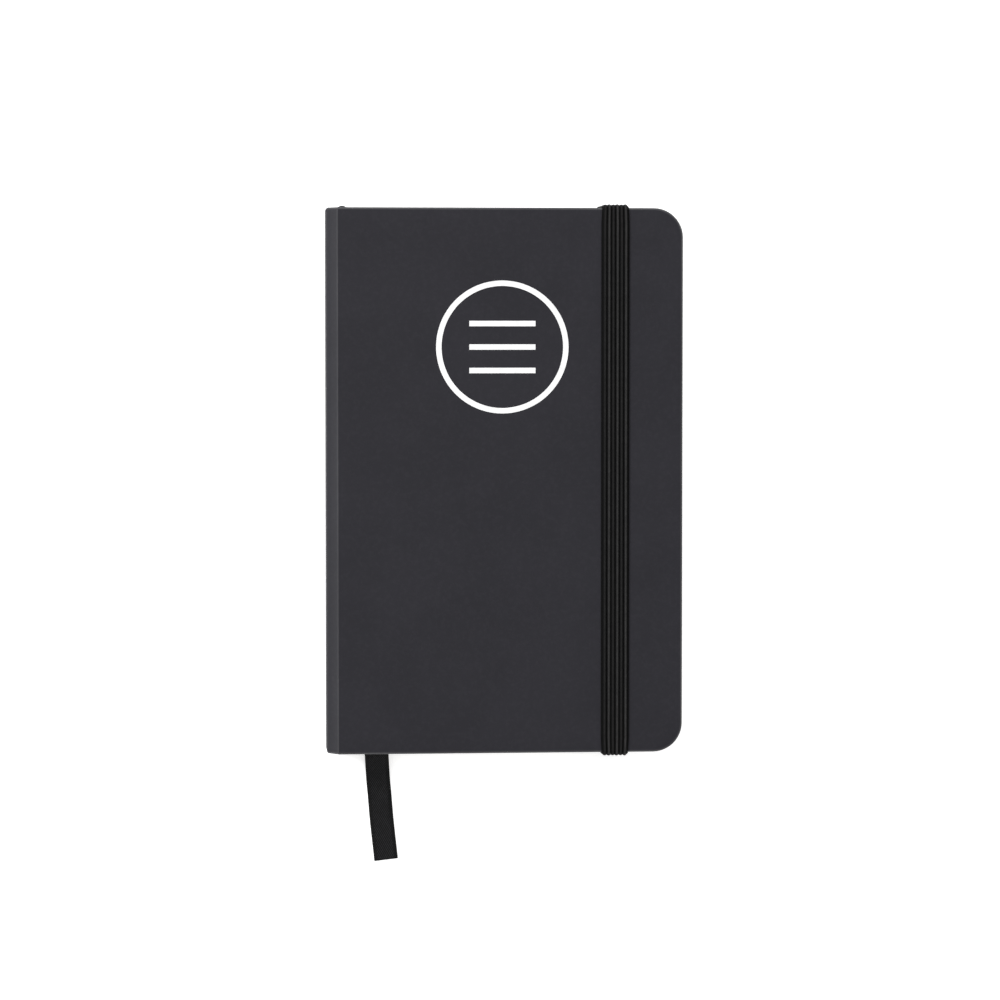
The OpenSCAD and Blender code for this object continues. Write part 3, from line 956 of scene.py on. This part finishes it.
@once
def ribbon_material():
    """Black twill tape: diagonal ribs in the middle and plain ribs on the selvedges."""
    c = colours()
    s = sizes()
    material, tree, shader = new_material("twill_ribbon")
    twill = placed(tree, twill_group(), Slope=1.45, Pitch=0.0008)
    plain = placed(tree, twill_group(), Slope=0.0, Pitch=0.00034)["Height"]
    edge = put(tree, "ShaderNodeMapRange", Value=twill["Across"], From_Min=s.ribbon_width * 0.34,
               From_Max=s.ribbon_width * 0.37).outputs[0]
    body = maths(tree, "MULTIPLY", twill["Height"], maths(tree, "SUBTRACT", 1.0, edge))
    height = maths(tree, "MULTIPLY_ADD", maths(tree, "MULTIPLY", plain, edge), 0.75, body)
    fuzz = placed(tree, patches_group(), Scale=1500.0, Low=0.3, High=0.72)["Mask"]
    # Painted light and shade: paler on the raised threads, near-black in the weave's hollows
    thread_lit_share = maths(tree, "POWER", height, 2.5)
    share = maths(tree, "MULTIPLY", thread_lit_share, maths(tree, "MULTIPLY_ADD", fuzz, 0.5, 0.6))
    tree.links.new(mixed(tree, share, solid(c.ribbon_hollow_shade), solid(c.ribbon)),
                   shader.inputs["Base Color"])
    shader.inputs["Roughness"].default_value = 0.6
    shader.inputs["Specular IOR Level"].default_value = 0.11
    bump(tree, shader, height, 0.6, 0.00008)
    return material


def simple_finish(name, tint, patch_scale, roughness, fibre_scale, depth):
    """A patchy, fibrous matte finish for the pieces that come straight from the frame."""
    material, tree, shader = new_material(name)
    cloud = placed(tree, patches_group(), Scale=patch_scale, Low=0.32, High=0.7)["Mask"]
    fibre = placed(tree, fibre_group(), Scale=fibre_scale)["Height"]
    shade = [v * 0.86 for v in tint]
    tree.links.new(mixed(tree, cloud, solid(tint), solid(shade)), shader.inputs["Base Color"])
    shader.inputs["Roughness"].default_value = roughness
    shader.inputs["Specular IOR Level"].default_value = 0.3
    bump(tree, shader, fibre, 0.4, depth)
    return material


def finish_frame_nodes():
    """Finishes for the CAD nodes that keep their own shape."""
    c = colours()
    board = simple_finish("grey_board", list(c.board), 350.0, 0.9, 1800.0, 0.00006)
    gauze = simple_finish("spine_gauze", list(c.gauze), 900.0, 0.9, 900.0, 0.00012)
    thread = simple_finish("linen_thread", list(c.thread), 2000.0, 0.7, 2500.0, 0.00005)
    ink = simple_finish("white_ink", list(c.ink), 500.0, 0.55, 2600.0, 0.00001)
    plan = {
        board: ["front_board", "back_board", "spine_board"],
        gauze: ["spine_lining"],
        thread: ["sewing_thread"],
        ink: ["cover_print"],
        endpaper_material(): ["front_pastedown", "back_pastedown", "back_flyleaf"],
    }
    for material, nodes in plan.items():
        for node in nodes:
            piece = frame["nodes"][node]
            piece.data.materials.clear()
            piece.data.materials.append(material)


# ---- Stage ----------------------------------------------------------------------------------

CAMERA_AIM = (-0.85, -5.1, 7.0)
CAMERA_AZIMUTH = -119.5
CAMERA_ELEVATION = 84.7
CAMERA_DISTANCE = 0.9
CAMERA_LENS = 125.4
FLOOR_GLOW = 0.55
FLOOR_HALF = 3.0
FLOOR_DROP = 0.02 * MM
SKY_STRENGTH = 0.58
# Name, place in metres, size in metres and power in watts
LIGHTS = [
    ("key_left", (-0.6, 0.28, 0.6), 0.3, 5.0),
    ("head_fill", (0.1, 0.8, 0.6), 0.6, 1.4),
    ("top_soft", (0.1, -0.1, 1.2), 1.2, 2.1),
]


def make_camera():
    """A long-lens camera nearly overhead, a little to the spine side and the head side."""
    a, e = math.radians(CAMERA_AZIMUTH), math.radians(CAMERA_ELEVATION)
    back = Vector((math.sin(a) * math.cos(e), -math.cos(a) * math.cos(e), math.sin(e)))
    right = Vector((0, 1, 0)).cross(back).normalized()
    up = back.cross(right)
    data = bpy.data.cameras.new("camera")
    data.sensor_width = 36.0
    data.lens = CAMERA_LENS
    data.clip_start = 0.05
    camera = bpy.data.objects.new("camera", data)
    place = Vector(CAMERA_AIM) * MM + back * CAMERA_DISTANCE
    turn = Matrix((right, up, back)).transposed().to_4x4()
    camera.matrix_world = Matrix.Translation(place) @ turn
    bpy.context.scene.collection.objects.link(camera)
    bpy.context.scene.camera = camera


def add_light(name, place, size, power):
    """A square soft light at place that faces the notebook."""
    data = bpy.data.lights.new(name, "AREA")
    data.size = size
    data.energy = power
    light = bpy.data.objects.new(name, data)
    light.location = place
    light.rotation_euler = (-Vector(place)).to_track_quat("-Z", "Y").to_euler()
    bpy.context.scene.collection.objects.link(light)


def make_stage():
    """The camera, the pale floor, the even sky and the soft lights."""
    make_camera()
    material, _, shader = new_material("pale_floor")
    shader.inputs["Base Color"].default_value = solid(colours().floor)
    shader.inputs["Roughness"].default_value = 0.9
    shader.inputs["Specular IOR Level"].default_value = 0.1
    shader.inputs["Emission Color"].default_value = (1, 1, 1, 1)
    shader.inputs["Emission Strength"].default_value = FLOOR_GLOW
    mesh = bpy.data.meshes.new("floor")
    half = FLOOR_HALF
    z = CAD_BOX[0][2] - FLOOR_DROP
    mesh.from_pydata([(-half, -half, z), (half, -half, z), (half, half, z), (-half, half, z)],
                     [], [(0, 1, 2, 3)])
    mesh.materials.append(material)
    floor = bpy.data.objects.new("floor", mesh)
    bpy.context.scene.collection.objects.link(floor)
    world = bpy.data.worlds.new("studio")
    world.use_nodes = True
    world.node_tree.nodes["Background"].inputs["Color"].default_value = (1, 1, 1, 1)
    world.node_tree.nodes["Background"].inputs["Strength"].default_value = SKY_STRENGTH
    bpy.context.scene.world = world
    bpy.context.scene.view_settings.view_transform = "Standard"
    for light in LIGHTS:
        add_light(*light)


# ---- Operators and panel --------------------------------------------------------------------

def operator(name, label, text, make):
    """An operator class that builds one piece or one group of like pieces."""
    def execute(self, context):
        make()
        return {"FINISHED"}
    body = {"__doc__": text, "bl_idname": f"notebook.{name}", "bl_label": label,
            "bl_options": {"REGISTER", "UNDO"}, "execute": execute}
    return type(f"NOTEBOOK_OT_{name}", (bpy.types.Operator,), body)


OPERATORS = [
    operator("stage", "Stage", "Make the camera, floor and lights", make_stage),
    operator("ribbon", "Ribbon Marker", "Make the ribbon marker", make_ribbon),
    operator("front_covering", "Front Covering", "Cover the front board", make_front_covering),
    operator("back_covering", "Back Covering", "Cover the back board", make_back_covering),
    operator("spine_covering", "Spine Covering", "Cover the spine", make_spine_covering),
    operator("front_fold", "Front Fold", "Make the fold beside the spine", make_front_fold),
    operator("sections", "Sewn Sections", "Make the sections of folded sheets", make_sections),
    operator("leaves", "Turning Leaves", "Make the flyleaf and turning leaves", make_leaves),
    operator("elastic", "Elastic", "Make the elastic closure", make_elastic),
    operator("finishes", "Frame Finishes", "Finish the pieces kept from the frame",
             finish_frame_nodes),
]


class NOTEBOOK_PT_panel(bpy.types.Panel):
    """Lists the notebook's settings and pieces."""

    bl_label = "Pocket Notebook"
    bl_idname = "NOTEBOOK_PT_panel"
    bl_space_type = "VIEW_3D"
    bl_region_type = "UI"
    bl_category = "Notebook"

    def draw(self, context):
        layout = self.layout
        for settings in (context.scene.notebook_sizes, context.scene.notebook_colours):
            column = layout.column(align=True)
            for name in settings.bl_rna.properties.keys():
                if name not in ("name", "rna_type"):
                    column.prop(settings, name)
        for each in OPERATORS:
            layout.operator(each.bl_idname)


CLASSES = [NotebookSizes, NotebookColours, *OPERATORS, NOTEBOOK_PT_panel]


def register():
    """Registers the settings, the operators and the panel."""
    for each in CLASSES:
        bpy.utils.register_class(each)
    bpy.types.Scene.notebook_sizes = bpy.props.PointerProperty(type=NotebookSizes)
    bpy.types.Scene.notebook_colours = bpy.props.PointerProperty(type=NotebookColours)


def unregister():
    """Takes the settings, the operators and the panel away again."""
    del bpy.types.Scene.notebook_colours
    del bpy.types.Scene.notebook_sizes
    for each in reversed(CLASSES):
        bpy.utils.unregister_class(each)


def main():
    """Builds everything and writes the boxes of the CAD model and of the finished scene."""
    register()
    for each in OPERATORS:
        group_name, name = each.bl_idname.split(".")
        getattr(getattr(bpy.ops, group_name), name)()


if __name__ == "__main__":
    main()
